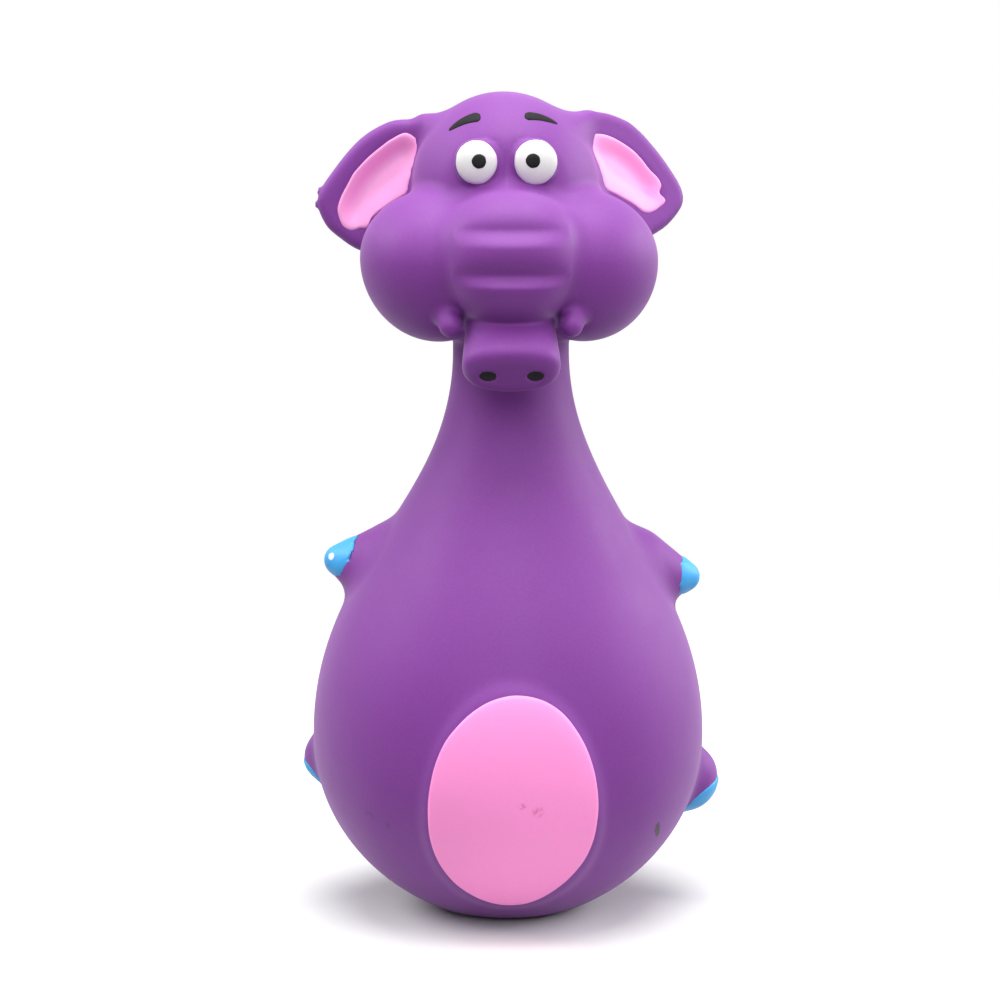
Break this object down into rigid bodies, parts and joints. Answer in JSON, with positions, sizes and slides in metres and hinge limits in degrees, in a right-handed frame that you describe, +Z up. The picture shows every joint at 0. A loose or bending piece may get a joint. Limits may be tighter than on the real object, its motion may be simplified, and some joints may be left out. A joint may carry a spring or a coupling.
{
  "type": "squeaky dog toy",
  "caption": "Hollow latex squeaky dog toy shaped as a pear-bodied elephant, with painted ears, eyes, belly and hooves and a press-in squeaker in its base.",
  "frame": {"origin": "middle of the flat base, on the surface that the toy stands on", "axes": "+Z up, the face and belly towards -Y, +X to the toy's own left"},
  "size_m": [0.0889, 0.082, 0.1698],
  "materials": {
    "purple_latex": "matte moulded natural latex",
    "pink_paint": "matte latex paint",
    "white_paint": "satin latex paint",
    "black_paint": "satin latex paint",
    "blue_paint": "matte latex paint",
    "squeaker_plastic": "satin moulded polythene",
    "reed_film": "thin plastic film"
  },
  "bodies": {
    "body": {"body_skin": "purple_latex", "arm_left": "purple_latex", "arm_right": "purple_latex", "hand_hoof_left": "blue_paint", "hand_hoof_right": "blue_paint", "leg_left": "purple_latex", "leg_right": "purple_latex", "foot_hoof_left": "blue_paint", "foot_hoof_right": "blue_paint", "squeaker_housing": "squeaker_plastic", "reed_bed": "squeaker_plastic", "reed_wedge": "squeaker_plastic"},
    "belly": {"belly_panel": "purple_latex", "belly_patch": "pink_paint"},
    "head": {"head_skin": "purple_latex", "trunk": "purple_latex", "eye_white_left": "white_paint", "eye_white_right": "white_paint", "pupil_left": "black_paint", "pupil_right": "black_paint", "brow_left": "black_paint", "brow_right": "black_paint", "nostril_left": "black_paint", "nostril_right": "black_paint"},
    "left_ear": {"ear_left": "purple_latex", "ear_lining_left": "pink_paint"},
    "right_ear": {"ear_right": "purple_latex", "ear_lining_right": "pink_paint"},
    "squeaker_reed": {"reed": "reed_film"}
  },
  "joints": [
    {"name": "belly_press", "type": "slide", "parent": "body", "child": "belly", "axis": [0, 1, 0], "range_m": [0, 0.008], "stiffness_N_per_m": 1500},
    {"name": "neck_nod", "type": "hinge", "parent": "body", "child": "head", "pos_m": [0, 0, 0.098], "axis": [1, 0, 0], "range_deg": [-20, 20], "stiffness_Nm_per_rad": 0.9},
    {"name": "left_ear_bend", "type": "hinge", "parent": "head", "child": "left_ear", "pos_m": [0.0154, 0.005, 0.1634], "axis": [0.4545, 0, -0.8908], "range_deg": [-25, 12], "stiffness_Nm_per_rad": 0.05},
    {"name": "right_ear_bend", "type": "hinge", "parent": "head", "child": "right_ear", "pos_m": [-0.0154, 0.005, 0.1634], "axis": [0.4545, 0, 0.8908], "range_deg": [-25, 12], "stiffness_Nm_per_rad": 0.05},
    {"name": "reed_lift", "type": "hinge", "parent": "body", "child": "squeaker_reed", "pos_m": [0, 0, 0.008], "axis": [-1, 0, 0], "range_deg": [0, 5]}
  ],
  "couplings": [
    {"joint": "reed_lift", "follows": "belly_press", "rad_per_m": 10.9}
  ]
}
